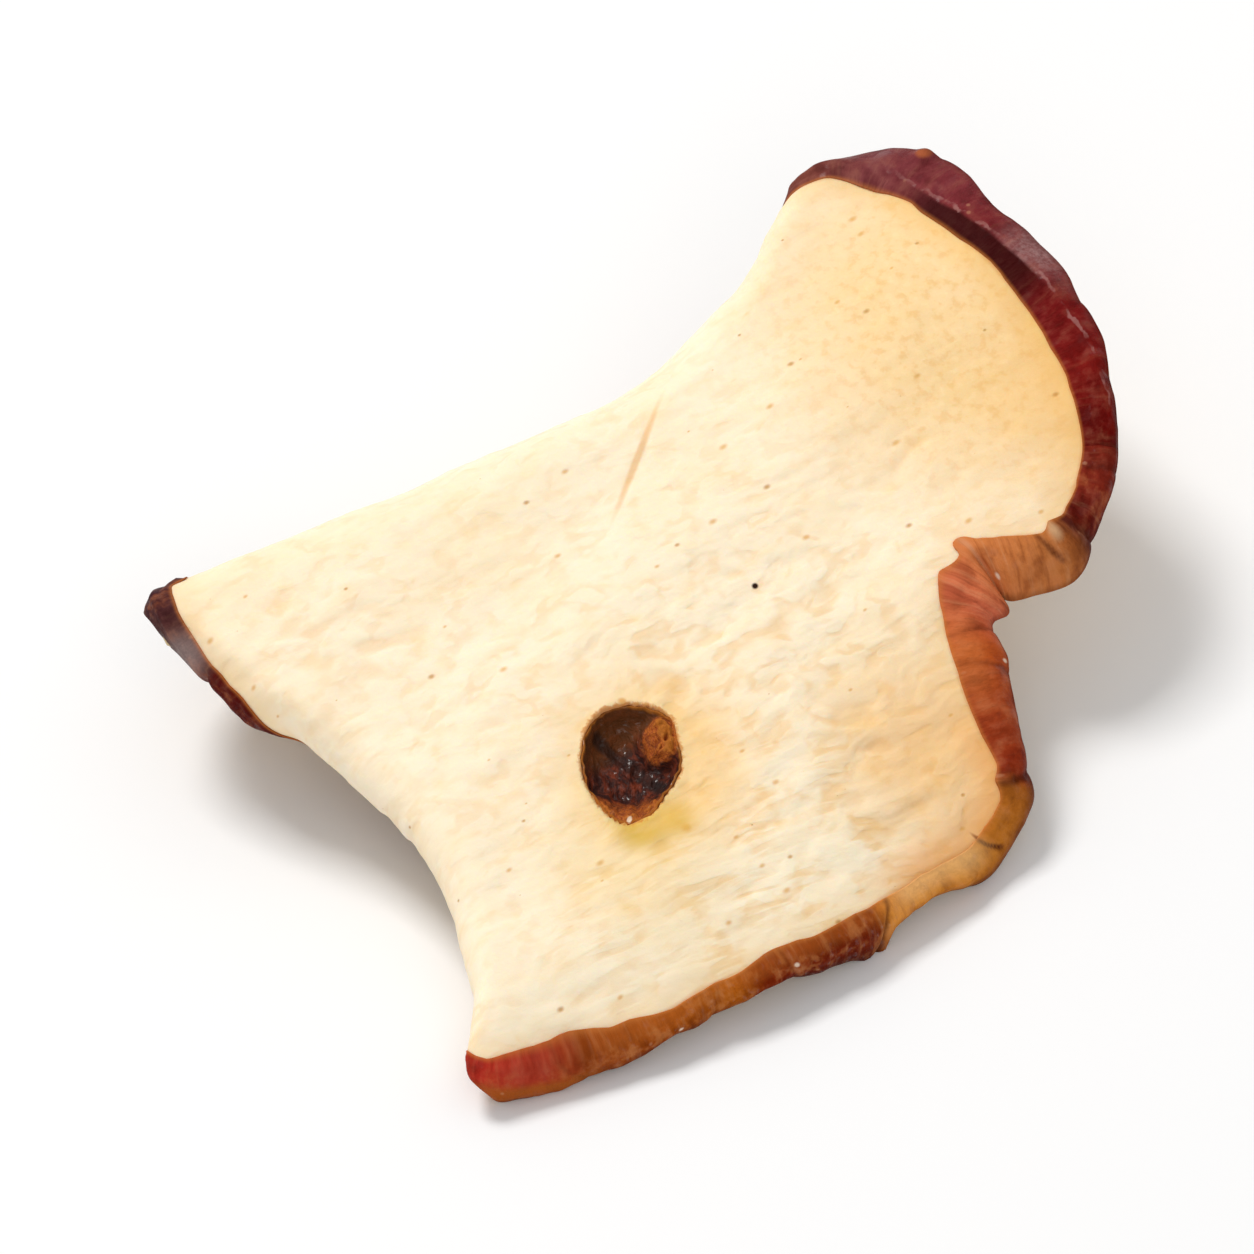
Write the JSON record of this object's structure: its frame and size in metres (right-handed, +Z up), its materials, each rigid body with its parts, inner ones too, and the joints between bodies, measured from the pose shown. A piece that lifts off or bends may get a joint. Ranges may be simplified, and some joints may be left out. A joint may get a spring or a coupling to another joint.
{
  "type": "dried apple slice",
  "caption": "Curled dried slice of red-skinned apple, cut lengthwise, with a rind rim, a stem notch and a hollow seed pocket, lying cut face up.",
  "frame": {"origin": "middle of the slice's bounding box in plan, on the surface it lies on", "axes": "+Z up, away from the surface it lies on; +X towards the stem notch side; -Y towards the lowest long edge, the side that the picture looks from"},
  "size_m": [0.063, 0.0694, 0.0189],
  "materials": {
    "apple_flesh": "dried cream-coloured fruit flesh, dull and slightly leathery, with a glossy dark red rind along the rim"
  },
  "bodies": {
    "root": {"apple_slice": "apple_flesh"}
  },
  "joints": []
}
